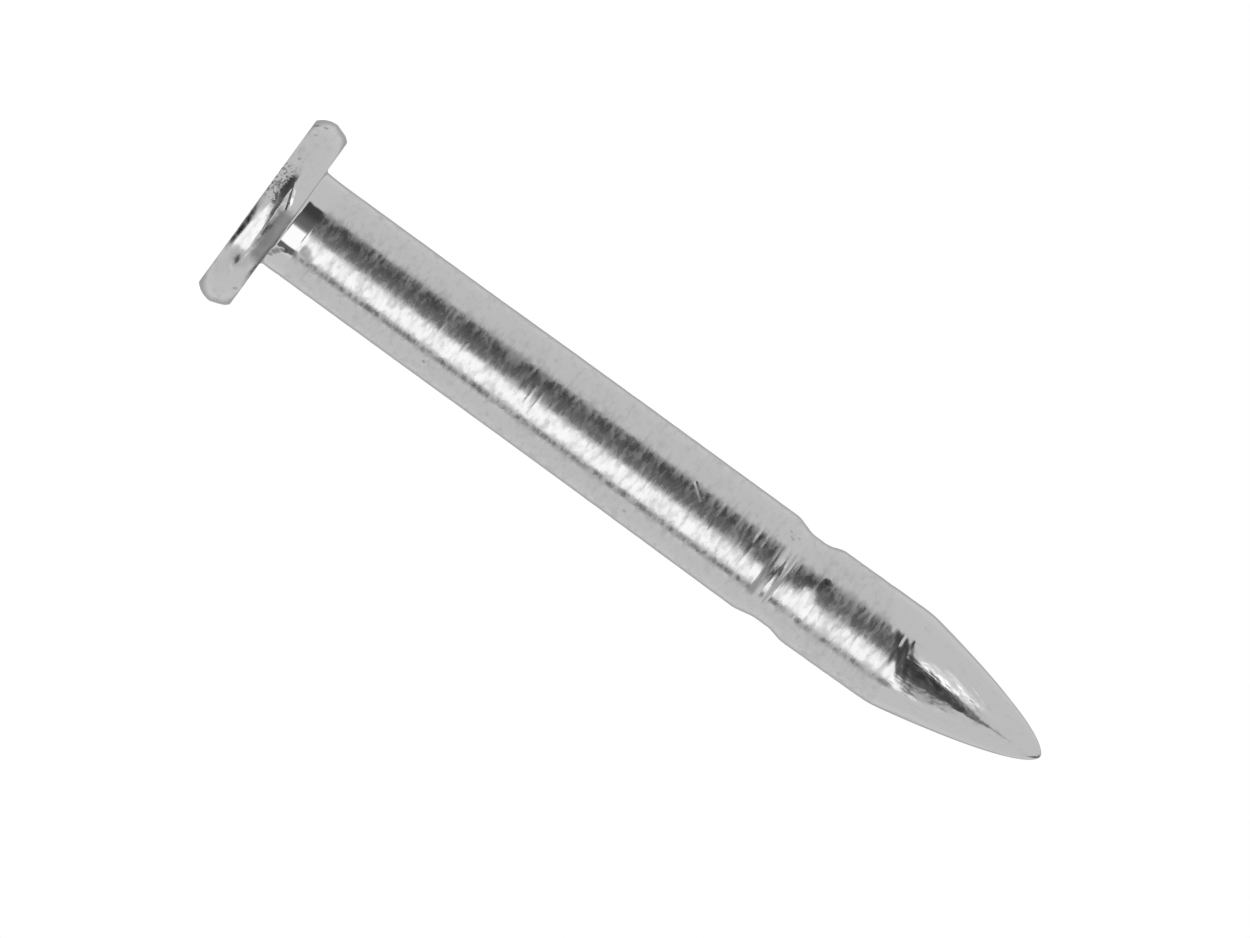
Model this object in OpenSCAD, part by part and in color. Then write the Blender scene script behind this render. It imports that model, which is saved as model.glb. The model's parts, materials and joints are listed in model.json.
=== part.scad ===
// Hardened drive nail: a thick flat head, a plain shank, a shallow waist, and a blunt rounded point.
// It is one forging. Each node is one formed region of it, and the regions meet face to face.
// It stands on its head with +Z towards the point. The origin is the middle of the head's outer face,
// and heights are measured from that face.

/* [Head] */
// Diameter of the head
head_d = 5.83; // [4.8:0.01:7]
// Thickness of the head
head_t = 1.02; // [0.8:0.01:1.4]
// How far the rounded rim stands out past the edges of the two faces
rim_bulge = 0.24; // [0.1:0.01:0.36]
// How far the shank stands to one side of the head's middle
head_offset = 0.23; // [0:0.01:0.4]

/* [Neck] */
// Length of the smooth neck next to the head
neck_l = 0.67; // [0.4:0.01:1.2]
// Radius of the fillet where the neck meets the head
neck_fillet = 0.1; // [0.04:0.01:0.2]

/* [Shank] */
// Diameter of the neck and shank
shank_d = 3; // [2.5:0.01:3.6]
// Length of the shank, from the neck to the waist
shank_l = 15; // [10:0.1:30]

/* [Waist] */
// Diameter at the bottom of the waist
waist_d = 2.74; // [2.2:0.01:2.9]
// Length of the slope down from the shank
waist_fall = 0.74; // [0.3:0.01:1.2]
// Length of the bottom of the waist
waist_flat = 0.32; // [0.2:0.01:1.2]
// Length of the slope up to the nose
waist_rise = 0.62; // [0.3:0.01:1.2]

/* [Nose] */
// Diameter of the nose
nose_d = 2.98; // [2.4:0.01:3.6]
// Length of the nose, from the waist to the point
nose_l = 2.83; // [1.5:0.01:5]

/* [Point] */
// Length of the point
point_l = 4.6; // [3:0.01:6]
// Bluntness of the point: 1 is a straight cone, and less is rounder
point_power = 0.575; // [0.5:0.005:1]
// Angle at which the point leans, away from the side that the head stands out on
point_lean = 1.2; // [0:0.1:2]

/* [Hidden] */
round_fn = 96;
slope_steps = 8;
point_steps = 24;

head_r = head_d / 2;
shank_r = shank_d / 2;
waist_r = waist_d / 2;
nose_r = nose_d / 2;

// The rim is an arc that stands out by rim_bulge over the head's thickness.
face_r = head_r - rim_bulge;
rim_r = (rim_bulge ^ 2 + (head_t / 2) ^ 2) / (2 * rim_bulge);

// Where each region begins.
shank_at = head_t + neck_l;
waist_at = shank_at + shank_l;
waist_l = waist_fall + waist_flat + waist_rise;
nose_at = waist_at + waist_l;
point_at = nose_at + nose_l;

// Place what is modelled round the Z axis on the shank's axis, at a height.
module on_shank_axis(at) {
    translate([-head_offset, 0, at]) children();
}

// Turn an outline of [radius, height] into a solid.
module turned() {
    rotate_extrude($fn = round_fn) children();
}

// Half of the head's section: a flat disc with a rounded rim.
module head_outline() {
    intersection() {
        union() {
            square([face_r, head_t]);
            translate([head_r - rim_r, head_t / 2]) circle(r = rim_r, $fn = round_fn);
        }
        square([head_r, head_t]);
    }
}

// Half of the neck's section, rooted in the middle of the head, with the fillet above the head.
module neck_outline() {
    root_at = head_t / 2;
    fillet_reach = shank_r + neck_fillet;
    translate([0, root_at]) square([shank_r, shank_at - root_at]);
    difference() {
        translate([0, root_at]) square([fillet_reach, head_t - root_at + neck_fillet]);
        translate([fillet_reach, head_t + neck_fillet]) circle(r = neck_fillet, $fn = round_fn);
    }
}

// A slope that leaves one radius and reaches the other without a corner, as [radius, height] points.
function slope(from_r, to_r, at, length) = [
    for (i = [0 : slope_steps])
        let (share = i / slope_steps)
        [from_r + (to_r - from_r) * (1 - cos(180 * share)) / 2, at + length * share]
];

module waist_outline() {
    polygon(concat(
        [[0, 0]],
        slope(shank_r, waist_r, 0, waist_fall),
        slope(waist_r, nose_r, waist_fall + waist_flat, waist_rise),
        [[0, waist_l]]
    ));
}

// The point's radius falls as a power of what is left of its length. The steps shorten towards the tip.
function point_ring(i) =
    let (left = (1 - i / point_steps) ^ 2)
    [nose_r * left ^ point_power, point_l * (1 - left)];

// The base runs on by a spare length, so that it still reaches the nose when the point leans.
module point_outline(spare) {
    polygon(concat([[0, -spare], [nose_r, -spare]], [for (i = [0 : point_steps]) point_ring(i)]));
}

module head() {
    color("silver") {
        turned() head_outline();
        on_shank_axis(0) turned() neck_outline();
    }
}

module shank() {
    color("silver") on_shank_axis(shank_at) cylinder(r = shank_r, h = shank_l, $fn = round_fn);
}

module waist() {
    color("silver") on_shank_axis(waist_at) turned() waist_outline();
}

module nose() {
    color("silver") on_shank_axis(nose_at) cylinder(r = nose_r, h = nose_l, $fn = round_fn);
}

module point() {
    color("silver") on_shank_axis(point_at) intersection() {
        rotate([0, -point_lean, 0]) turned() point_outline(spare = nose_r / 4);
        translate([-nose_d, -nose_d, 0]) cube([2 * nose_d, 2 * nose_d, 2 * point_l]);
    }
}

head();
shank();
waist();
nose();
point();
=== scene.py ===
"""Looks of a zinc-plated drive nail. It stands on its head, with +Z towards the point, in metres."""

import json
import math
import random

import bmesh
import bpy
import numpy as np
from mathutils import Matrix, Vector


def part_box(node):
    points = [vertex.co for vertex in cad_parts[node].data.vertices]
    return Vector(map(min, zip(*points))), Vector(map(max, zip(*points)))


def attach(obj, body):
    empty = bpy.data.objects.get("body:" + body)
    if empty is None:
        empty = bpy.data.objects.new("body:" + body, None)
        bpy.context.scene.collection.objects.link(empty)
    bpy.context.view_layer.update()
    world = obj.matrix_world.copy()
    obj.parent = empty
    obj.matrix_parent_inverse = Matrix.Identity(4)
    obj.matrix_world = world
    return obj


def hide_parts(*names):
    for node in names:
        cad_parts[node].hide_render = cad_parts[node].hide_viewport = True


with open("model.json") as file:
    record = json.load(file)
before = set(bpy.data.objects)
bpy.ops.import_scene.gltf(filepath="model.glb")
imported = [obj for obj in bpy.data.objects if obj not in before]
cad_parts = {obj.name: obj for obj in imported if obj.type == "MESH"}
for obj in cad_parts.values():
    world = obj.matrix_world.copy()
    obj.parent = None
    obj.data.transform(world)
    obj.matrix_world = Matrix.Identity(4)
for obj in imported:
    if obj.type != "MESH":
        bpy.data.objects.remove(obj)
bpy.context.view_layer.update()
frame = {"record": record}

MM = 0.001


# ---------------------------------------------------------------- sizes, in millimetres

def mount(name):
    """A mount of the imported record."""
    return next(m for m in frame["record"]["mounts"] if m["name"] == name)


def node_box(name):
    """A region's lowest and highest corners."""
    low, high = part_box(name)
    return low / MM, high / MM


HEAD_LOW, HEAD_HIGH = node_box("head")
SHANK_LOW, SHANK_HIGH = node_box("shank")
WAIST_LOW, WAIST_HIGH = node_box("waist")
NOSE_LOW, NOSE_HIGH = node_box("nose")
POINT_LOW, POINT_HIGH = node_box("point")

AXIS_X = mount("shank")["pos_m"][0] / MM
SHANK_R = mount("shank")["dims"]["r_mm"]
HEAD_R = (HEAD_HIGH.x - HEAD_LOW.x) / 2
HEAD_T = mount("under_head")["pos_m"][2] / MM
NECK_TOP = HEAD_HIGH.z
NOSE_R = (NOSE_HIGH.x - NOSE_LOW.x) / 2
POINT_LENGTH = POINT_HIGH.z - POINT_LOW.z

# The tip's place across from the shank's axis: the point leans away from the head's longer side.
TIP_X = -0.094

# The rim stands out past the faces by its bulge, on an arc over the head's thickness.
RIM_BULGE = 0.24
FACE_R = HEAD_R - RIM_BULGE
RIM_ARC_R = (RIM_BULGE ** 2 + (HEAD_T / 2) ** 2) / (2 * RIM_BULGE)

# The fillet under the head, and the heights between which the neck's mirror finish fades out.
NECK_FILLET = 0.1
FILLET_R = SHANK_R + NECK_FILLET
NECK_SHINE_FADES = 1.55
NECK_SHINE_ENDS = 1.6

# The waist's radius, the lengths of its slope down and its bottom, and how far it is off the centre line.
WAIST_R = 1.37
WAIST_FALL = 0.74
WAIST_BOTTOM = 0.32
WAIST_SHIFT = 0.025

# The point's radius falls as a power of what is left of its length, and its corner with the nose is rounded
# over a shoulder.
POINT_POWER = 0.575
SHOULDER = 0.18

# The drawn wire's centre line wanders towards +X, and its radius grows a trace towards the waist.
BOW_HEIGHTS = (1.3, 6.3, 9.0, 11.6, 16.6, 18.6, 19.7, 21.3, 22.4, 25.0, 25.8)
BOW_SHIFTS = (0.014, 0.014, 0.002, 0.0, 0.010, 0.016, 0.004, -0.016, -0.013, -0.006, 0.0)
TAPER_HEIGHTS = (6.3, 11.6, 16.7)
TAPER_GROWTH = (-0.0125, 0.0, 0.012)

# The crease round the rim: the height at which it starts, the heights between which a deeper step in it
# begins and those between which that ends, and their depths.
CREASE_LOW = 0.5
CREASE_STEP = (0.535, 0.58, 0.6, 0.95)
CREASE_DEPTH = 0.022
STEP_DEPTH = 0.008

# Marks on the shank: height, rise, azimuth of the middle, reach and slant. All share a width.
SHANK_MARK_WIDTH = 0.045
SHANK_MARKS = (
    (5.95, -0.005, 8, 30, 0.02), (6.75, -0.004, 16, 24, 0.02), (8.62, -0.003, 10, 20, -0.02),
    (8.91, -0.009, 12, 24, 0.02), (9.17, -0.007, 12, 22, 0.03), (3.6, -0.003, 20, 20, 0.02),
    (12.85, -0.004, 12, 30, 0.03), (14.9, -0.005, -14, 34, 0.03), (15.75, -0.005, -12, 34, 0.02),
    (16.1, -0.006, -10, 30, -0.02), (16.35, -0.005, -18, 24, 0.02),
)

# Marks on the waist: height above its start, width, rise, azimuth of the middle, reach and slant.
WAIST_MARKS = (
    (0.1, 0.04, -0.008, -8, 60, 0.04), (0.47, 0.09, 0.024, 14, 60, 0.0),
    (0.62, 0.03, -0.004, 20, 60, 0.02), (0.8, 0.03, -0.004, 10, 40, -0.02),
    (1.43, 0.03, -0.004, 10, 50, 0.0), (1.5, 0.03, 0.003, -35, 30, 0.0),
)

# The pinching tool's bite over the corner between nose and point. The hollow and the marks in it are each a
# height from the corner, a width and a rise. A bulge was left standing beside the bite.
PINCH_TURN = -6
PINCH_SLANT = 1.1
PINCH_HOLLOW = (0.0, 0.35, -0.009)
PINCH_HOLLOW_REACH = 34
PINCH_MARKS = ((-0.42, 0.09, -0.004), (-0.17, 0.1, -0.004), (0.08, 0.08, -0.003))
PINCH_MARK_REACH = 24
BULGE_AT = 0.4
BULGE_WIDTH = 0.4
BULGE_TURN = 27
BULGE_REACH = 17
BULGE_RISE = 0.009

# How many forging marks run along the point.
POINT_STREAKS = 90

# A flat on the rim: its azimuth in degrees, the height of its middle there and how fast that climbs per
# degree, its width, half its reach in degrees, and the height at which the rim's own arc has its tilt.
FACET_TURN = -13
FACET_AT = 0.7
FACET_SLANT = 0.018
FACET_WIDTH = 0.17
FACET_REACH = 9
FACET_LEVEL = 0.664

# Faces round a piece.
COARSE_TURN = 120
FINE_TURN = 240

# Points closer than MERGE are joined, and radii or heights closer than SAME count as the same.
MERGE = 0.0004
SAME = 1e-3


# ---------------------------------------------------------------- turned pieces

def line(start, end, steps):
    """Points from start to end, without the end itself."""
    return [
        (start[0] + (end[0] - start[0]) * i / steps, start[1] + (end[1] - start[1]) * i / steps)
        for i in range(steps)
    ]


def arc(centre, radius, from_deg, to_deg, steps):
    """Points on an arc of (radius, height), without its end. Zero degrees points outwards."""
    points = []
    for i in range(steps):
        turn = math.radians(from_deg + (to_deg - from_deg) * i / steps)
        points.append((centre[0] + radius * math.cos(turn), centre[1] + radius * math.sin(turn)))
    return points


def turned(name, outline, segments, axis_at, relief, sharp):
    """Spin an outline of (radius, height) into a closed solid.

    axis_at gives each point's centre line, relief each point's rise in millimetres, and sharp lists the
    (radius, height) of its sharp rings."""
    bm = bmesh.new()
    corners = [bm.verts.new((radius, 0, height)) for radius, height in outline]
    for a, b in zip(corners, corners[1:]):
        bm.edges.new((a, b))
    bmesh.ops.spin(
        bm, geom=bm.verts[:] + bm.edges[:], cent=(0, 0, 0), axis=(0, 0, 1), dvec=(0, 0, 0),
        angle=math.tau, steps=segments, use_merge=True, use_normal_flip=False, use_duplicate=False,
    )
    bmesh.ops.remove_doubles(bm, verts=bm.verts[:], dist=MERGE)
    bmesh.ops.recalc_face_normals(bm, faces=bm.faces[:])
    for face in bm.faces:
        face.smooth = True
    for edge in bm.edges:
        a, b = edge.verts
        if abs(a.co.z - b.co.z) > 1e-5:
            continue
        for radius, height in sharp:
            at_radius = abs(a.co.xy.length - radius) < SAME and abs(b.co.xy.length - radius) < SAME
            if at_radius and abs(a.co.z - height) < SAME:
                edge.smooth = False
    mesh = bpy.data.meshes.new(name)
    bm.to_mesh(mesh)
    bm.free()

    count = len(mesh.vertices)
    place = np.empty(count * 3)
    mesh.vertices.foreach_get("co", place)
    place = place.reshape(-1, 3)
    outward = np.empty(count * 3)
    mesh.vertices.foreach_get("normal", outward)
    outward = outward.reshape(-1, 3)
    around = np.degrees(np.arctan2(place[:, 0], -place[:, 1]))
    radius = np.hypot(place[:, 0], place[:, 1])
    height = place[:, 2].copy()
    on_face = abs(outward[:, 2]) > 0.8
    sideways = place[:, :2] / np.maximum(radius, 1e-6)[:, None]
    outward[:, :2] = np.where(on_face[:, None], 0.0, sideways)
    outward[:, 2] = np.where(on_face, np.sign(outward[:, 2]), 0.0)
    place += outward * relief(around, radius, height)[:, None]
    place[:, 0] += axis_at(radius, height)
    mesh.vertices.foreach_set("co", (place * MM).ravel())
    mesh.update()
    piece = bpy.data.objects.new(name, mesh)
    bpy.context.scene.collection.objects.link(piece)
    return piece


def fade(value, start, end):
    """0 before start, 1 after end, smooth between."""
    share = np.clip((value - start) / (end - start), 0, 1)
    return share * share * (3 - 2 * share)


def inside(value, low, high, soft):
    """1 between low and high, with soft ends inside them."""
    return fade(value, low, low + soft) * (1 - fade(value, high - soft, high))


def apart(angle, centre):
    """Signed degrees from a centre, the short way round."""
    return (angle - centre + 180) % 360 - 180


def ring_mark(around, height, at, width, depth, centre, reach, slant):
    """A shallow ring, pressed in over part of the way round."""
    turn = apart(around, centre)
    ridge = np.exp(-(((height - at - slant * turn / 90) / width) ** 2))
    return depth * ridge * np.exp(-((turn / reach) ** 4))


def ring_marks(around, height, low, high, pitch, width, depth, seed):
    """Ring marks all along a region, each with its own place, depth and reach."""
    chance = random.Random(seed)
    total = np.zeros_like(height)
    at = low
    while at < high:
        total += ring_mark(
            around, height, at,
            width * chance.uniform(0.6, 1.5),
            depth * chance.uniform(-1, 0.8),
            chance.uniform(-180, 180),
            chance.uniform(40, 200),
            chance.uniform(-0.06, 0.06),
        )
        at += pitch * chance.uniform(0.4, 1.6)
    return total


def swell(around, height, waves, depth, seed):
    """A gentle unevenness of a drawn surface: a sum of seeded waves that close round the part."""
    chance = random.Random(seed)
    total = np.zeros_like(height)
    for _ in range(waves):
        turns = chance.randint(0, 9)
        climb = chance.uniform(2, 16)
        start = chance.uniform(0, math.tau)
        total += np.sin(np.radians(around) * turns + height * climb + start)
    return total * depth / math.sqrt(waves)


def bow(height):
    """How far the centre line wanders towards +X along the nail."""
    return np.interp(height, BOW_HEIGHTS, BOW_SHIFTS)


def taper(height):
    """The drawn wire is a trace thinner next to the head and thicker next to the waist."""
    return np.interp(height, TAPER_HEIGHTS, TAPER_GROWTH)


# ---------------------------------------------------------------- head

def head_outline():
    """Outer face, rounded rim, under face, fillet and neck."""
    edge = math.degrees(math.asin(HEAD_T / 2 / RIM_ARC_R))
    rim_centre = (HEAD_R - RIM_ARC_R, HEAD_T / 2)
    points = line((0, 0), (FACE_R, 0), 24)
    points += arc(rim_centre, RIM_ARC_R, -edge, edge, 110)
    points += line((FACE_R, HEAD_T), (FILLET_R, HEAD_T), 26)
    points += arc((FILLET_R, HEAD_T + NECK_FILLET), NECK_FILLET, 270, 180, 10)
    points += line((SHANK_R, HEAD_T + NECK_FILLET), (SHANK_R, NECK_TOP), 40)
    points += [(SHANK_R, NECK_TOP), (0, NECK_TOP)]
    return points


def head_axis(radius, height):
    """The head is centred on the frame, the neck on the shank's axis, and the under face joins the two."""
    across = 1 - fade(radius, FILLET_R, FACE_R)
    shift = AXIS_X + bow(height) * fade(height, HEAD_T, HEAD_T + 0.4)
    return np.where(height > HEAD_T - 1e-4, shift * across, 0.0)


def rim_facet(around, height):
    """A flat that the die pressed aslant on the rim, which is otherwise an arc, and the flat's extent."""
    turn = apart(around, FACET_TURN)
    middle = FACET_AT + FACET_SLANT * turn
    above = height - middle
    lean = (middle - FACET_LEVEL) / RIM_ARC_R
    flat = lean * above + above ** 2 / (2 * RIM_ARC_R)
    reach = inside(above, -0.5 * FACET_WIDTH - 0.015, 0.5 * FACET_WIDTH + 0.015, 0.03)
    reach *= np.exp(-((turn / FACET_REACH) ** 6)) * inside(height, 0.5 * HEAD_T, HEAD_T, 0.06)
    return flat, reach


def head_relief(around, radius, height):
    """A crease and a flat on the rim where the die closed, uneven faces, and a groove at the neck's end."""
    outer = radius > FACE_R - 0.01
    on_rim = inside(height, 0.02, HEAD_T - 0.02, 0.12) * outer
    ragged = 0.012 * np.sin(np.radians(around) * 37) + 0.01 * np.sin(np.radians(around) * 83 + 1)
    over_crease = height - ragged
    past_crease = inside(over_crease, CREASE_LOW, HEAD_T - 0.02, 0.24)
    step = fade(over_crease, *CREASE_STEP[:2]) * (1 - fade(over_crease, *CREASE_STEP[2:]))
    crease = (-CREASE_DEPTH * past_crease - STEP_DEPTH * step) * outer
    uneven = swell(around, height * 3, 14, 0.0016, 21) * on_rim
    flat, reach = rim_facet(around, height)
    crease = crease * (1 - reach) + flat * reach * outer
    uneven = uneven * (1 - reach)
    on_under = inside(radius, SHANK_R + 0.14, FACE_R - 0.02, 0.2) * (abs(height - HEAD_T) < 1e-4)
    under = swell(around, radius * 2, 12, 0.002, 22) * on_under
    neck = (height > HEAD_T + NECK_FILLET - 1e-4) * (radius > SHANK_R - SAME)
    on_neck = inside(height, HEAD_T + NECK_FILLET, NECK_TOP, 0.05) * neck
    groove = -0.008 * np.exp(-(((height - NECK_TOP + 0.08) / 0.03) ** 2))
    groove *= fade(apart(around, 10), -24, 4)
    pressed = swell(around, height, 12, 0.0012, 25)
    thinner = taper(height) * fade(height, HEAD_T + NECK_FILLET, NECK_TOP - 0.05) * neck
    return crease + uneven + under + (groove + pressed) * on_neck + thinner


head = turned(
    "head_piece", head_outline(), FINE_TURN, head_axis, head_relief,
    [(FACE_R, 0), (FACE_R, HEAD_T), (SHANK_R, NECK_TOP)],
)


# ---------------------------------------------------------------- shank, waist, nose and point

def on_axis(radius, height):
    """The centre line of everything past the under face."""
    return AXIS_X + bow(height)


def shank_outline():
    """A cylinder, with a ring of points about every 0.02 mm to carry its marks."""
    points = [(0, SHANK_LOW.z)]
    points += line((SHANK_R, SHANK_LOW.z), (SHANK_R, SHANK_HIGH.z), 800)
    points += [(SHANK_R, SHANK_HIGH.z), (0, SHANK_HIGH.z)]
    return points


def shank_relief(around, radius, height):
    """Drawing marks and a few cross marks."""
    outer = radius > SHANK_R - SAME
    side = outer * inside(height, SHANK_LOW.z, SHANK_HIGH.z, 0.12)
    marks = ring_marks(
        around, height, SHANK_LOW.z + 0.2, SHANK_HIGH.z - 0.2, pitch=0.2, width=0.045, depth=0.0018, seed=3,
    )
    marks += swell(around, height, 20, 0.0012, 4)
    for at, depth, centre, reach, slant in SHANK_MARKS:
        marks += ring_mark(around, height, at, SHANK_MARK_WIDTH, depth, centre, reach, slant)
    return marks * side + taper(height) * outer


shank = turned(
    "shank_piece", shank_outline(), COARSE_TURN, on_axis, shank_relief,
    [(SHANK_R, SHANK_LOW.z), (SHANK_R, SHANK_HIGH.z)],
)


def slope(from_r, to_r, low, high, steps):
    """A slope that leaves one radius and reaches the other without a corner, without its end."""
    return [
        (from_r + (to_r - from_r) * (1 - math.cos(math.pi * i / steps)) / 2, low + (high - low) * i / steps)
        for i in range(steps)
    ]


def waist_outline():
    """A slope down from the shank, a short bottom and a slope up to the nose."""
    low = WAIST_LOW.z
    bottom = low + WAIST_FALL
    rise = bottom + WAIST_BOTTOM
    points = [(0, low)]
    points += slope(SHANK_R, WAIST_R, low, bottom, 40)
    points += line((WAIST_R, bottom), (WAIST_R, rise), 18)
    points += slope(WAIST_R, NOSE_R, rise, WAIST_HIGH.z, 34)
    points += [(NOSE_R, WAIST_HIGH.z), (0, WAIST_HIGH.z)]
    return points


def waist_relief(around, radius, height):
    """Rings that the forming tool left on the slopes."""
    outer = radius > WAIST_R - 0.02
    side = outer * inside(height, WAIST_LOW.z, WAIST_HIGH.z, 0.08)
    low = WAIST_LOW.z
    marks = ring_marks(
        around, height, low + 0.1, WAIST_HIGH.z - 0.1, pitch=0.12, width=0.035, depth=0.003, seed=9,
    )
    for at, width, depth, centre, reach, slant in WAIST_MARKS:
        marks += ring_mark(around, height, low + at, width, depth, centre, reach, slant)
    thicker = taper(height) * (1 - fade(height, low - 0.1, low + 0.34)) * outer
    return marks * side + thicker


def waist_axis(radius, height):
    """The waist is rolled a little off the shank's centre line."""
    off = WAIST_SHIFT * inside(height, WAIST_LOW.z, WAIST_HIGH.z, 0.7) * (radius > WAIST_R / 2)
    return AXIS_X + bow(height) + off


waist = turned(
    "waist_piece", waist_outline(), COARSE_TURN, waist_axis, waist_relief,
    [(SHANK_R, WAIST_LOW.z), (NOSE_R, WAIST_HIGH.z)],
)


def past_corner(rise):
    """How far a height is past the corner between nose and point, which is rounded over the shoulder."""
    return (rise + math.hypot(rise, SHOULDER)) / 2


def point_radius(rise):
    """The radius at a height above the point's base. Below it, the nose begins to close in."""
    length = past_corner(POINT_LENGTH)
    return NOSE_R * max(1 - past_corner(rise) / length, 0) ** POINT_POWER


BASE_R = point_radius(0)


def pinch(around, rise):
    """Where the pinching tool bit first: a hollow aslant over the corner, and the bulge beside it."""
    bite = ring_mark(around, rise, *PINCH_HOLLOW, PINCH_TURN, PINCH_HOLLOW_REACH, PINCH_SLANT)
    for at, width, depth in PINCH_MARKS:
        bite += ring_mark(around, rise, at, width, depth, PINCH_TURN, PINCH_MARK_REACH, PINCH_SLANT)
    bulge = np.exp(-(((rise - BULGE_AT) / BULGE_WIDTH) ** 2))
    bulge *= np.exp(-(((around - BULGE_TURN) / BULGE_REACH) ** 4))
    return BULGE_RISE * bulge + bite


def nose_outline():
    """A cylinder that begins to close in before the point."""
    points = [(0, NOSE_LOW.z)]
    steps = 150
    for i in range(steps):
        height = NOSE_LOW.z + (NOSE_HIGH.z - NOSE_LOW.z) * i / steps
        closing = point_radius(height - NOSE_HIGH.z)
        share = fade(height, NOSE_HIGH.z - 1.2, NOSE_HIGH.z - 0.4)
        points.append((NOSE_R + (closing - NOSE_R) * share, height))
    points += [(BASE_R, NOSE_HIGH.z), (0, NOSE_HIGH.z)]
    return points


def nose_relief(around, radius, height):
    """Close rings, deeper than the shank's, and the start of the pinch."""
    outer = radius > BASE_R - SAME
    side = outer * inside(height, NOSE_LOW.z, NOSE_HIGH.z, 0.1)
    marks = ring_marks(
        around, height, NOSE_LOW.z + 0.1, NOSE_HIGH.z - 0.1, pitch=0.17, width=0.06, depth=0.0058, seed=14,
    )
    marks += swell(around, height, 16, 0.0012, 15)
    return marks * side + pinch(around, height - NOSE_HIGH.z) * outer


nose = turned(
    "nose_piece", nose_outline(), COARSE_TURN, on_axis, nose_relief,
    [(NOSE_R, NOSE_LOW.z), (BASE_R, NOSE_HIGH.z)],
)


def point_outline():
    """The blunt point, with its rings closer together towards the tip."""
    points = [(0, POINT_LOW.z)]
    steps = 240
    for i in range(steps):
        rise = POINT_LENGTH * (1 - (1 - i / steps) ** 1.5)
        points.append((point_radius(rise), POINT_LOW.z + rise))
    points.append((0, POINT_HIGH.z))
    return points


def point_axis(radius, height):
    """The point leans away from the side on which the head stands out."""
    return AXIS_X + bow(height) + TIP_X * (height - POINT_LOW.z) / POINT_LENGTH


def streak(around, height, low, high, centre, slant, width, depth):
    """A lengthwise forging mark that winds a little round the point."""
    rise = height - POINT_LOW.z
    off = apart(around, centre + slant * (rise - low))
    return depth * np.exp(-((off / width) ** 2)) * inside(rise, low, high, 0.5 * (high - low))


def point_relief(around, radius, height):
    """The pinch, and slanting lengthwise forging marks that fade towards the tip."""
    chance = random.Random(31)
    rise = height - POINT_LOW.z
    marks = np.zeros_like(height)
    for _ in range(POINT_STREAKS):
        low = chance.uniform(0.05, 2.6)
        marks += streak(
            around, height, low, low + chance.uniform(0.5, 1.8), chance.uniform(-180, 180),
            chance.uniform(3, 14), chance.uniform(2.2, 5), chance.uniform(-0.009, 0.007),
        )
    marks *= fade(rise, 0.0, 0.12) * (1 - fade(rise, POINT_LENGTH - 0.6, POINT_LENGTH - 0.1))
    on_side = (radius > SAME) * ((radius > BASE_R - SAME) | (rise > SAME))
    return (marks + pinch(around, rise)) * on_side


point = turned(
    "point_piece", point_outline(), FINE_TURN, point_axis, point_relief, [(BASE_R, POINT_LOW.z)],
)


# ---------------------------------------------------------------- materials

class Link:
    """A socket in a node tree. Arithmetic on it adds the Math nodes that work it out."""

    def __init__(self, tree, socket=None):
        self.tree = tree
        self.socket = socket

    def node(self, kind, settings, sockets, output=0):
        """Add a node, set it up, then fill its sockets with numbers or links."""
        made = self.tree.nodes.new(kind)
        for name, value in settings.items():
            setattr(made, name, value)
        for name, value in sockets.items():
            if isinstance(value, Link):
                self.tree.links.new(made.inputs[name], value.socket)
            else:
                made.inputs[name].default_value = value
        return Link(self.tree, made.outputs[output])

    def maths(self, operation, first, second=0.0):
        """A Math node of two numbers or links."""
        return self.node("ShaderNodeMath", {"operation": operation}, {0: first, 1: second})

    def __add__(self, other):
        return self.maths("ADD", self, other)

    __radd__ = __add__

    def __sub__(self, other):
        return self.maths("SUBTRACT", self, other)

    def __rsub__(self, other):
        return self.maths("SUBTRACT", other, self)

    def __mul__(self, other):
        return self.maths("MULTIPLY", self, other)

    __rmul__ = __mul__

    def __neg__(self):
        return self.maths("SUBTRACT", 0.0, self)

    def over(self, low, high):
        """0 below low, 1 above high, smooth between."""
        return self.node(
            "ShaderNodeMapRange", {"interpolation_type": "SMOOTHSTEP"},
            {"Value": self, "From Min": low, "From Max": high},
        )

    def between(self, low, high, soft):
        """1 between low and high, with soft edges centred on them."""
        return self.over(low - soft, low + soft) * (1 - self.over(high - soft, high + soft))

    def size(self):
        """The value without its sign."""
        return self.maths("ABSOLUTE", self)

    def most(self, other):
        """The greater of two values."""
        return self.maths("MAXIMUM", self, other)

    def xyz(self):
        """The three parts of a vector."""
        split = self.node("ShaderNodeSeparateXYZ", {}, {0: self}).socket.node
        return [Link(self.tree, part) for part in split.outputs]


def noise(place, size, detail=2.0, rough=0.5, warp=0.0):
    """Noise from 0 to 1 with features of a size in millimetres."""
    return place.node("ShaderNodeTexNoise", {}, {
        "Vector": place, "Scale": 1 / (size * MM), "Detail": detail, "Roughness": rough, "Distortion": warp,
    })


def stretched(place, scale, turn=(0, 0, 0)):
    """The pattern's coordinates, squeezed along each axis and turned."""
    angles = [math.radians(t) for t in turn]
    return place.node("ShaderNodeMapping", {}, {"Vector": place, "Scale": scale, "Rotation": angles})


def spot(place, at, size):
    """1 at a place in millimetres, 0 past a size from it."""
    centre = [c * MM for c in at]
    away = place.node(
        "ShaderNodeVectorMath", {"operation": "DISTANCE"}, {0: place, 1: centre}, output="Value",
    )
    return 1 - away.over(size * 0.4 * MM, size * MM)


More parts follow.
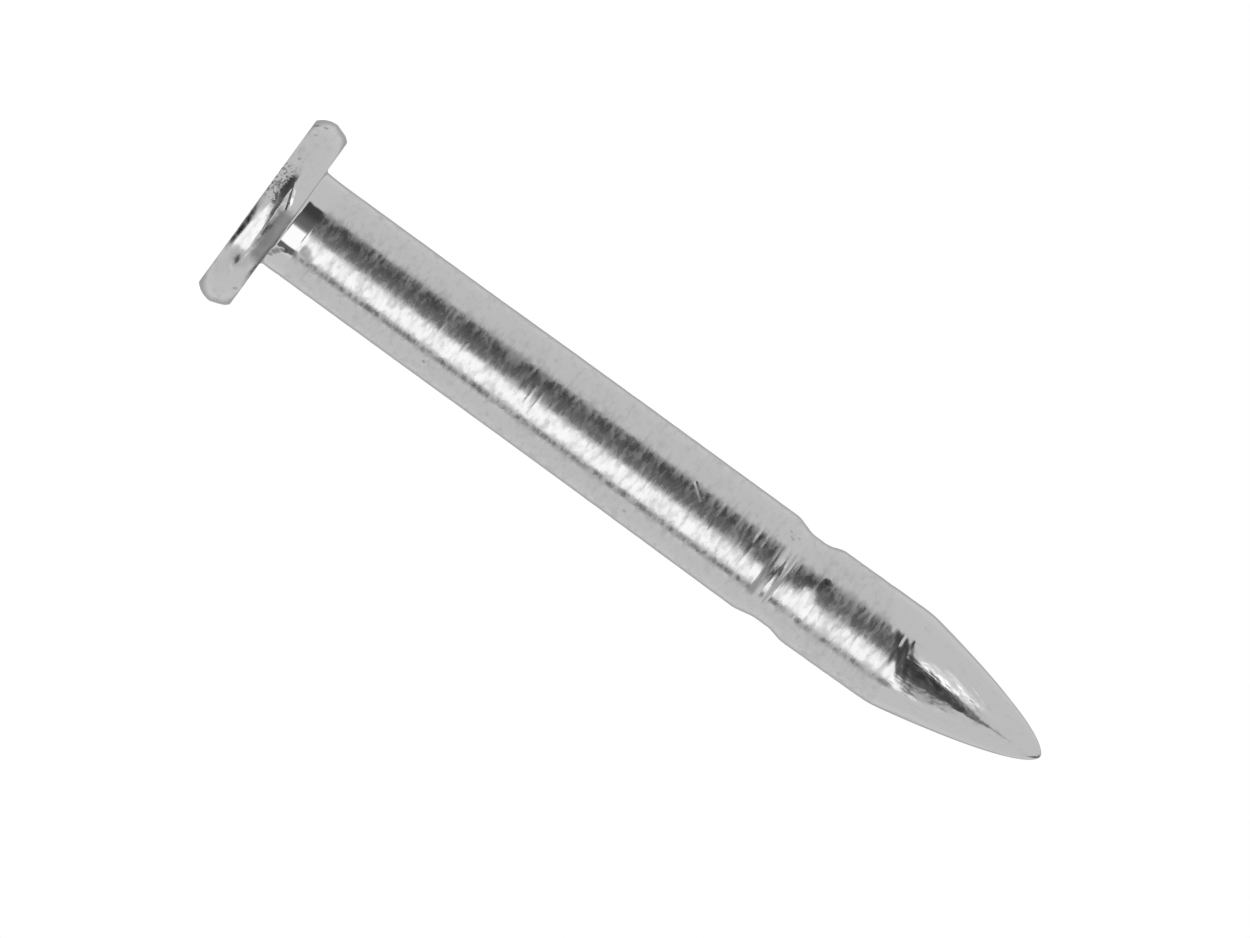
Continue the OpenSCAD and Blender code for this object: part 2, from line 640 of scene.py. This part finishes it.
def line_mark(place, start, end, half_width):
    """1 on a straight mark between two (x, z) places in millimetres on the front, 0 beside it."""
    run = Vector((end[0] - start[0], end[1] - start[1]))
    length = run.length
    run.normalize()
    x, y, z = place.xyz()
    east = x - start[0] * MM
    north = z - start[1] * MM
    along = east * run.x + north * run.y
    beside = (north * run.x - east * run.y).size()
    inside_it = along.over(0, 0.12 * length * MM) * (1 - along.over(0.8 * length * MM, length * MM))
    return inside_it * (1 - beside.over(0, half_width * MM)) * (1 - y.over(-0.2 * MM, 0.0))


ZINC = (0.5, 0.5, 0.503, 1)
# The dark colour for stains, pits and random tone; the painted shade mixes it in too.
STAIN_AND_SHADE = (0.13, 0.13, 0.135, 1)

# Roughness of a mirror-bright and of a brushed zone, and what the rougher zone with painted shade adds.
MIRROR_ROUGH = 0.05
SATIN_ROUGH = 0.48
MATT_ROUGH = 0.14

# Depths in micrometres.
PIT_UM = 6
STAIN_UM = 4


def zinc(name, bare, haze, cloud_um, rings_um, grain_um, squeeze, turn, shine=None, satin=None, rough_painted_shade=None,
         coarse=None, stains=(), scratches=()):
    """Bright zinc plate.

    bare is its roughness where it is clean, and haze how much cloudy patches add. cloud_um, rings_um and
    grain_um are the heights in micrometres of its mottle, its drawing marks and its fine grain. squeeze and
    turn lay the mottle and the marks along or round the nail. shine gives a mask of a mirror-bright zone,
    satin one of an evenly brushed zone, the mask after it one of a rougher zone with painted shade, a
    darker colour that stands in for shade and dark reflections, and coarse one of a pitted zone.
    stains lists dark specks and scratches lists straight marks."""
    material = bpy.data.materials.new(name)
    material.use_nodes = True
    tree = material.node_tree
    shader = tree.nodes["Principled BSDF"]
    start = Link(tree)
    place = start.node("ShaderNodeTexCoord", {}, {}, output="Object")
    mottled = stretched(place, [0.4 + 0.6 * q for q in squeeze], turn)
    drawn = stretched(place, squeeze, turn)
    cells = noise(mottled, 0.15, 2, 0.5, 0.3)
    smudge = noise(mottled, 0.4, 2, 0.5)
    streaks = noise(drawn, 0.15, 2, 0.5)
    grain = noise(place, 0.09, 1, 0.5)
    patches = cells.over(0.4, 0.68) * 0.6 + smudge.over(0.4, 0.66) * 0.3 + streaks.over(0.42, 0.68) * 0.35
    rough = bare + haze * patches
    dark = cells.over(0.56, 0.74) * 0.06 + streaks.over(0.6, 0.75) * 0.06
    height = cells * cloud_um + streaks * rings_um + grain * grain_um
    # The rougher zone is painted shade: its colour is darkened to stand in for shade and dark reflections.
    if rough_painted_shade:
        painted_shade_mask = rough_painted_shade(place)
        rough = rough + painted_shade_mask * MATT_ROUGH
        dark = dark.most(painted_shade_mask * 0.5)
    if coarse:
        pits = noise(place, 0.1, 2, 0.6).over(0.48, 0.62) * coarse(place)
        dark = dark.most(pits * 0.8)
        height = height - pits * PIT_UM
    if shine:
        bright = shine(place)
        rough = rough * (1 - bright) + MIRROR_ROUGH * bright
        dark = dark * (1 - 0.9 * bright)
        height = height * (1 - 0.94 * bright)
    if satin:
        brushed = satin(place)
        rough = rough * (1 - brushed) + SATIN_ROUGH * brushed
    for at, size, strength in stains:
        mark = spot(place, at, size) * strength
        dark = dark.most(mark)
        rough = rough + mark * 0.06
        height = height - mark * STAIN_UM
    for first, last, half_width, depth in scratches:
        height = height - line_mark(place, first, last, half_width) * depth
    colour = start.node("ShaderNodeMix", {"data_type": "RGBA"}, {0: dark, 6: ZINC, 7: STAIN_AND_SHADE}, output=2)
    bump = start.node("ShaderNodeBump", {}, {"Strength": 1.0, "Distance": 1e-6, "Height": height})
    tree.links.new(shader.inputs["Base Color"], colour.socket)
    tree.links.new(shader.inputs["Roughness"], rough.socket)
    tree.links.new(shader.inputs["Normal"], bump.socket)
    shader.inputs["Metallic"].default_value = 1.0
    return material


def facing(y):
    """1 on the front of the nail, 0 behind."""
    return 1 - y.over(-0.3 * MM, 0.0)


def neck_shine(place):
    """The neck, which the gripping die left mirror bright, with its fillet and the flat on the rim."""
    x, y, z = place.xyz()
    neck = z.over((HEAD_T + 0.008) * MM, (HEAD_T + 0.02) * MM)
    neck *= 1 - z.over(NECK_SHINE_FADES * MM, NECK_SHINE_ENDS * MM)
    facet_x = HEAD_R * math.sin(math.radians(FACET_TURN))
    half_length = 0.36
    half_width = 0.06
    climb = FACET_SLANT / (HEAD_R * math.radians(1))
    above = z - climb * (x - facet_x * MM)
    band = above.between((FACET_AT - half_width) * MM, (FACET_AT + half_width) * MM, 0.015 * MM)
    facet = band * x.between((facet_x - half_length) * MM, (facet_x + half_length) * MM, 0.04 * MM)
    return neck.most(facet * facing(y) * 0.9)


def under_face(place):
    """The face under the head, which the gripping die's end left brushed."""
    z = place.xyz()[2]
    above_it = z.over((HEAD_T + 0.008) * MM, (HEAD_T + 0.02) * MM)
    return z.over((HEAD_T - 0.01) * MM, (HEAD_T - 0.006) * MM) * (1 - above_it)


def pinch_shine(place):
    """The end of the nose, which the pinching tool rubbed nearly as bright as the point."""
    x, y, z = place.xyz()
    aslant = z - 0.6 * (x - AXIS_X * MM)
    return 0.75 * aslant.over((NOSE_HIGH.z - 0.7) * MM, (NOSE_HIGH.z - 0.15) * MM)


def rough_rim(place):
    """A patch of the rim that the header left pitted."""
    x, y, z = place.xyz()
    part = x.between(-1.3 * MM, -0.25 * MM, 0.14 * MM) * facing(y)
    return part * (1 - z.over(0.28 * MM, 0.4 * MM))


def slope_painted_shade(place):
    """Painted shade on the slope down to the waist: on the front only, part of a dark ring and a thin one
    past it stand in for dark reflections, with a rougher finish.
    """
    x, y, z = place.xyz()
    low = WAIST_LOW.z
    thin_level = 0.7
    part = x.between((AXIS_X - 0.62) * MM, (AXIS_X + 0.95) * MM, 0.1 * MM) * facing(y)
    ring = z.between((low - 0.1) * MM, (low + 0.2) * MM, 0.06 * MM)
    thin_ring = z.between((low + 0.5) * MM, (low + 0.57) * MM, 0.03 * MM)
    return (ring + thin_level * thin_ring) * part


def rim_painted_shade(place):
    """Painted shade on a patch of the rim next to the under face: on the front only, a darker colour stands
    in for dark reflections there, and the finish is rougher.
    """
    x, y, z = place.xyz()
    ragged = (noise(place, 0.22, 3, 0.6) - 0.5) * (0.3 * MM)
    part = (x + ragged).between(-0.25 * MM, 1.35 * MM, 0.2 * MM) * facing(y)
    edge = z + ragged * 0.6
    return 1.3 * edge.over(0.58 * MM, 0.74 * MM) * (1 - edge.over(1.0 * MM, 1.08 * MM)) * part


def dress(piece, material, node):
    """Finish a piece: its material, its body and the region that it stands for."""
    piece.data.materials.append(material)
    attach(piece, "root")
    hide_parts(node)


def on_shank(across, height, radius=SHANK_R):
    """The place on the front at a distance across from the shank's axis, in millimetres."""
    return (AXIS_X + across, -math.sqrt(max(radius ** 2 - across ** 2, 0.0)), height)


# How the marks' pattern is squeezed to run round the nail or along it.
ROUND = (0.3, 0.3, 1)
LENGTHWISE = (1, 1, 0.12)

# A stain is its place, its size in millimetres and its strength. A scratch is its two ends, its half width
# in millimetres and its depth in micrometres.
head_zinc = zinc(
    "head_zinc", bare=0.09, haze=0.24, cloud_um=3.0, rings_um=2.0, grain_um=0.3,
    squeeze=ROUND, turn=(2, 1, 0),
    shine=neck_shine, satin=under_face, rough_painted_shade=rim_painted_shade, coarse=rough_rim,
    stains=(
        ((-2.56, -1.04, 0.09), 0.12, 0.8), ((-2.65, -1.15, 0.33), 0.1, 0.6),
        ((-2.34, -1.63, 0.22), 0.09, 0.3), ((2.23, -1.68, 0.89), 0.1, 0.4),
        ((-1.55, -2.36, 0.25), 0.08, 0.5), ((-1.5, -2.42, 0.52), 0.07, 0.45),
        ((-1.52, -2.42, 0.38), 0.06, 0.3), ((1.5, -2.45, 0.5), 0.4, 0.2),
        (on_shank(1.16, 1.08), 0.11, 0.6), (on_shank(1.05, 1.14), 0.12, 0.7),
        (on_shank(0.97, 1.2), 0.12, 0.7), (on_shank(0.9, 1.28), 0.1, 0.6),
        (on_shank(0.85, 1.38), 0.09, 0.5),
    ),
)
shank_zinc = zinc(
    "shank_zinc", bare=0.16, haze=0.24, cloud_um=4.6, rings_um=5.0, grain_um=0.2,
    squeeze=ROUND, turn=(2, 1.5, 0),
    stains=(
        (on_shank(0.58, 1.83), 0.24, 0.55), (on_shank(0.66, 2.0), 0.2, 0.4),
        (on_shank(1.08, 6.1), 0.07, 0.5), (on_shank(1.15, 12.8), 0.08, 0.3),
        (on_shank(-1.02, 8.95), 0.07, 0.22), (on_shank(0.8, 16.3), 0.09, 0.6),
    ),
    scratches=(((AXIS_X - 0.64, 13.82), (AXIS_X - 0.2, 14.4), 0.07, 5.0),),
)
waist_zinc = zinc(
    "waist_zinc", bare=0.16, haze=0.22, cloud_um=4.6, rings_um=5.0, grain_um=0.2,
    squeeze=ROUND, turn=(2, 1.5, 0), rough_painted_shade=slope_painted_shade,
    stains=(
        (on_shank(-1.05, 16.75), 0.06, 0.4), (on_shank(-0.93, 16.83), 0.05, 0.4),
        (on_shank(-0.91, 16.9, 1.48), 0.07, 0.35), (on_shank(-1.02, 17.04, 1.44), 0.06, 0.35),
        (on_shank(-0.5, 18.31, 1.49), 0.13, 0.95),
    ),
)
nose_zinc = zinc(
    "nose_zinc", bare=0.19, haze=0.26, cloud_um=4.4, rings_um=6.0, grain_um=0.2,
    squeeze=ROUND, turn=(1.5, 2, 0), shine=pinch_shine,
    stains=((on_shank(-0.5, 18.33), 0.13, 0.95), (on_shank(-1.05, 21.2, 1.45), 0.07, 0.3)),
)
point_zinc = zinc(
    "point_zinc", bare=0.1, haze=0.1, cloud_um=3.0, rings_um=8.0, grain_um=0.2,
    squeeze=LENGTHWISE, turn=(5, 9, 0),
)

dress(head, head_zinc, "head")
dress(shank, shank_zinc, "shank")
dress(waist, waist_zinc, "waist")
dress(nose, nose_zinc, "nose")
dress(point, point_zinc, "point")


# ---------------------------------------------------------------- floor and studio

# What the floor gives off, so that it shows white under the nail.
FLOOR_GLOW = 0.26

# How bright the lamps, the softbox and the cards are, where the white walls are 1.
LOW_LAMP = 1.3
HIGH_LAMP = 1.5
SOFTBOX = 1.95
GREY_CARD = 0.22
BRIGHT_CARD = 1.15
HIGH_CARD = 0.2
LOW_CARD = 0.04

# The camera's lens and sensor, and in millimetres of the nail the width that it sees and the height that it
# aims at. The nail lies aslant by the tilt, in degrees.
LENS = 300
SENSOR_WIDTH = 36
SEEN_WIDTH = 33.54
AIM_HEIGHT = 12.197
TILT = 36.085


def floor():
    """A plain white floor. It keeps the nail's shadow."""
    bm = bmesh.new()
    bmesh.ops.create_grid(bm, x_segments=1, y_segments=1, size=2.0)
    mesh = bpy.data.meshes.new("floor")
    bm.to_mesh(mesh)
    bm.free()
    made = bpy.data.objects.new("floor", mesh)
    bpy.context.scene.collection.objects.link(made)
    made.visible_glossy = False
    material = bpy.data.materials.new("floor_white")
    material.use_nodes = True
    shader = material.node_tree.nodes["Principled BSDF"]
    shader.inputs["Base Color"].default_value = (1, 1, 1, 1)
    shader.inputs["Roughness"].default_value = 1.0
    shader.inputs["Specular IOR Level"].default_value = 0.0
    shader.inputs["Emission Color"].default_value = (1, 1, 1, 1)
    shader.inputs["Emission Strength"].default_value = FLOOR_GLOW
    mesh.materials.append(material)


def studio():
    """The studio round the nail: white walls, two lamps, a tall softbox, and cards.

    Across is the azimuth from the camera towards +X, up is the elevation, both in degrees."""
    world = bpy.data.worlds.new("studio")
    bpy.context.scene.world = world
    world.use_nodes = True
    tree = world.node_tree
    background = tree.nodes["Background"]
    start = Link(tree)
    x, y, z = start.node("ShaderNodeTexCoord", {}, {}, output="Generated").xyz()
    to_degrees = 180 / math.pi
    across = start.maths("ARCTAN2", x, -y) * to_degrees
    up = start.node("ShaderNodeMath", {"operation": "ARCSINE"}, {0: z}) * to_degrees

    def card(light, mask, level):
        """Put a card or a lamp of a level in front of what is there."""
        return light * (1 - mask) + mask * level

    # The wall behind the nail is half as bright as the rest.
    around = across.size()
    light = 1 - 0.5 * around.over(138, 162)

    # Two lamps above the camera, on the side towards -X.
    low_lamp = across.between(-23, -2, 3) * up.between(22, 30.5, 1.5)
    light = card(light, low_lamp, LOW_LAMP + LOW_LAMP * up.over(23.5, 26))
    high_lamp = across.between(-38, -27, 3) * (up - 0.2 * (across + 36)).between(24, 28.5, 1)
    light = card(light, high_lamp, HIGH_LAMP)

    # A dark card in front of the nail. Its edges move across with height, and it is lighter towards +X.
    dark_left = -47 + 32 * up.over(4, 18) + 38 * up.over(25, 40)
    opening = 13 + 24 * up.over(8, 20.5) + 31 * up.over(21, 25.5)
    dark_right = opening - 3 - 34 * up.over(25.5, 29)
    within = across - dark_left
    shade = 0.09 + 0.15 * within.over(16, 46) + 0.16 * within.over(46, 57)
    shade = shade * (1 - 0.55 * up.over(16, 24)) + 0.42 * up.over(28.5, 41)
    dark_card = within.over(-2.5, 2.5) * (1 - (across - dark_right).over(-2.5, 2.5))
    light = card(light, dark_card * up.between(-40, 42, 4), shade)

    # The softbox on the side towards +X begins where the dark card ends.
    left_edge = opening - 20 * up.between(-45, -12, 9)
    right_edge = 55 + 11 * up.over(18, 22) + 30 * (1 - up.over(-62, -30))
    softbox = (across - left_edge).over(-2.5, 2.5) * (1 - (across - right_edge).over(-2, 2))
    light = card(light, softbox * up.between(-67, 27.5, 1.5), SOFTBOX)

    # Two upright cards past the softbox, one high up at the side and one below.
    beside = up.between(-18, 16, 5)
    light = card(light, across.between(55.5, 71, 1.8) * beside, GREY_CARD)
    light = card(light, across.between(72, 79, 2) * beside, BRIGHT_CARD)
    light = card(light, across.over(88, 104) * up.between(48, 73, 5), HIGH_CARD)
    light = card(light, across.between(20, 125, 8) * (1 - up.over(-64, -57)), LOW_CARD)

    # What the camera sees directly is plain white.
    seen = start.node("ShaderNodeLightPath", {}, {}, output="Is Camera Ray")
    glass = start.node("ShaderNodeLightPath", {}, {}, output="Is Transmission Ray")
    white = seen.most(glass)
    strength = light * (1 - white) + white
    tree.links.new(background.inputs["Strength"], strength.socket)
    background.inputs["Color"].default_value = (1, 1, 1, 1)


def camera():
    """A long lens, level with the middle of the head's thickness, that sees the nail lie aslant."""
    data = bpy.data.cameras.new("camera")
    data.lens = LENS
    data.sensor_width = SENSOR_WIDTH
    data.clip_start = 0.001
    data.clip_end = 10
    made = bpy.data.objects.new("camera", data)
    bpy.context.scene.collection.objects.link(made)
    distance = SEEN_WIDTH * LENS / SENSOR_WIDTH
    aim = Vector((0.0, 0.0, AIM_HEIGHT))
    eye = Vector((0.0, -distance, HEAD_T / 2))
    tilt = math.radians(TILT)
    nail_way = Vector((0, 0, 1))
    back = (eye - aim).normalized()
    sideways = nail_way.cross(back).normalized()
    towards_tip = back.cross(sideways).normalized()
    right = towards_tip * math.cos(tilt) - sideways * math.sin(tilt)
    above = back.cross(right).normalized()
    turn = Matrix((right, above, back)).transposed().to_4x4()
    made.matrix_world = Matrix.Translation(eye * MM) @ turn
    bpy.context.scene.camera = made


floor()
studio()
camera()
bpy.context.scene.view_settings.view_transform = "Standard"
